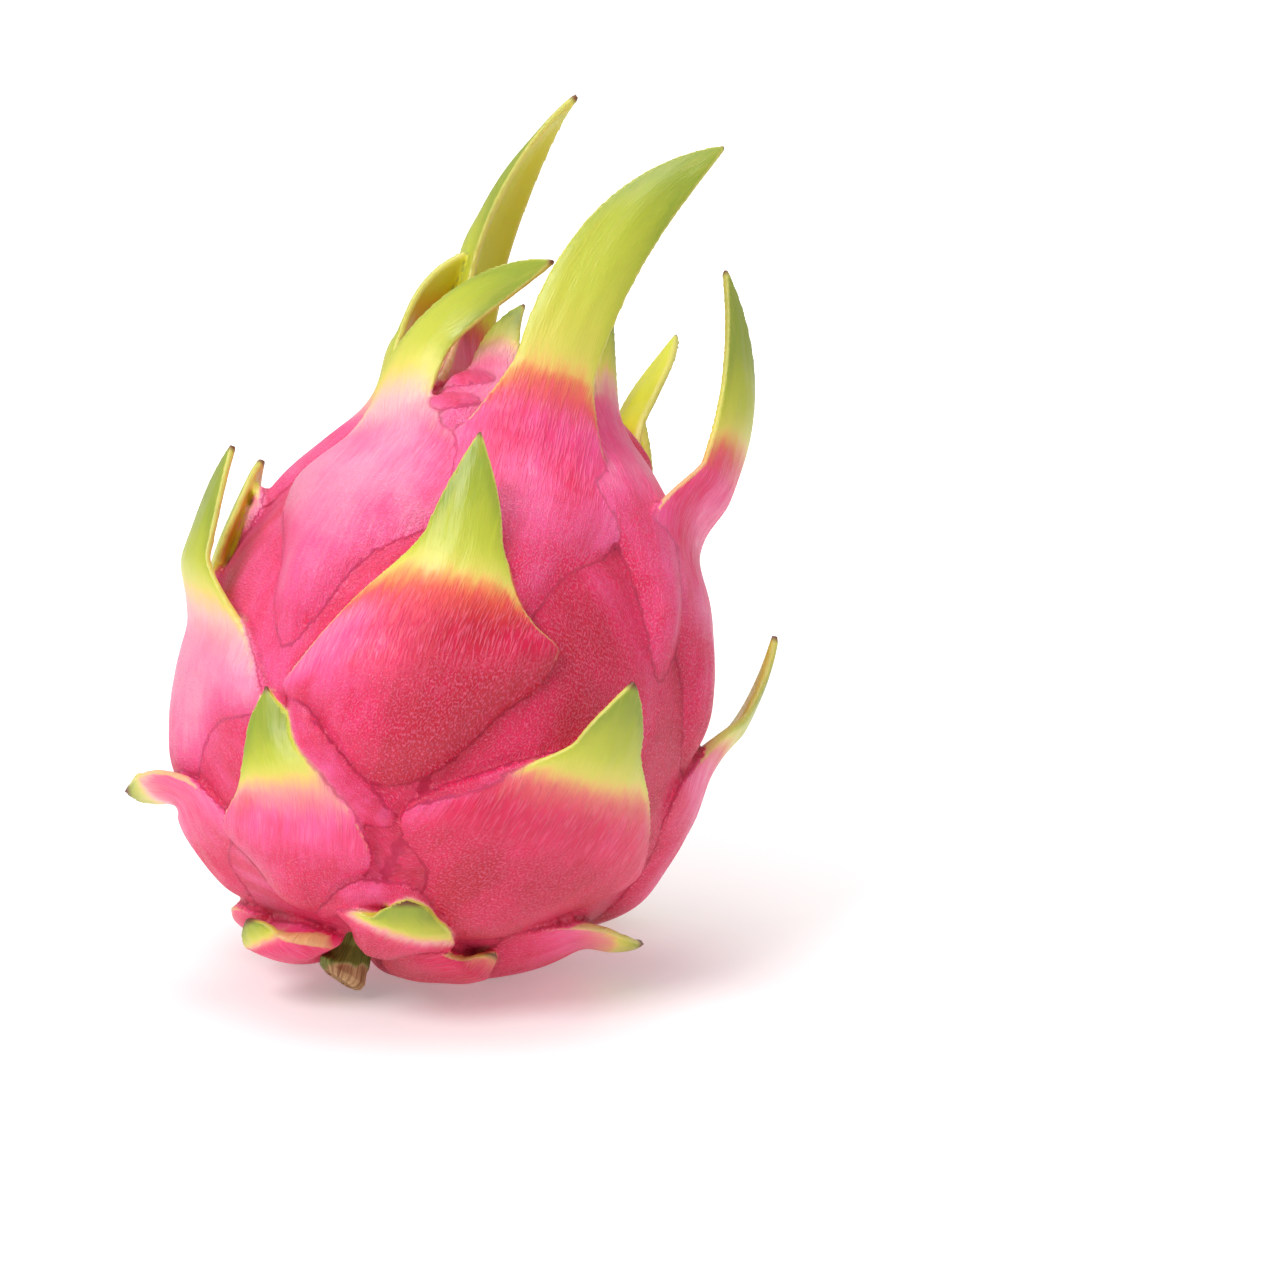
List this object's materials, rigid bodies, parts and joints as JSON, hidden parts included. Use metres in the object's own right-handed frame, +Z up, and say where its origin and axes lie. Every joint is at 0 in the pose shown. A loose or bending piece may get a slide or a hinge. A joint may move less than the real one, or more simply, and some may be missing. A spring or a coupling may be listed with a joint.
{
  "type": "dragon fruit",
  "caption": "Whole dragon fruit with leaf-like scales fused to its rind, a cut stem stub and a dried flower scar, lying on its flat spot with the crown raised.",
  "frame": {"origin": "on the ground, below the middle of the whole fruit's box", "axes": "+Z up, with the crown scales standing up; -Y to the front; the crown leans to +X and away to +Y"},
  "size_m": [0.1167, 0.1148, 0.153],
  "materials": {
    "rind": "satin fruit skin",
    "cut_stem": "dry, cut",
    "dried_flower": "dry, withered"
  },
  "bodies": {
    "root": {"fruit": "rind", "stem_stub": "cut_stem", "flower_scar": "dried_flower"}
  },
  "joints": []
}
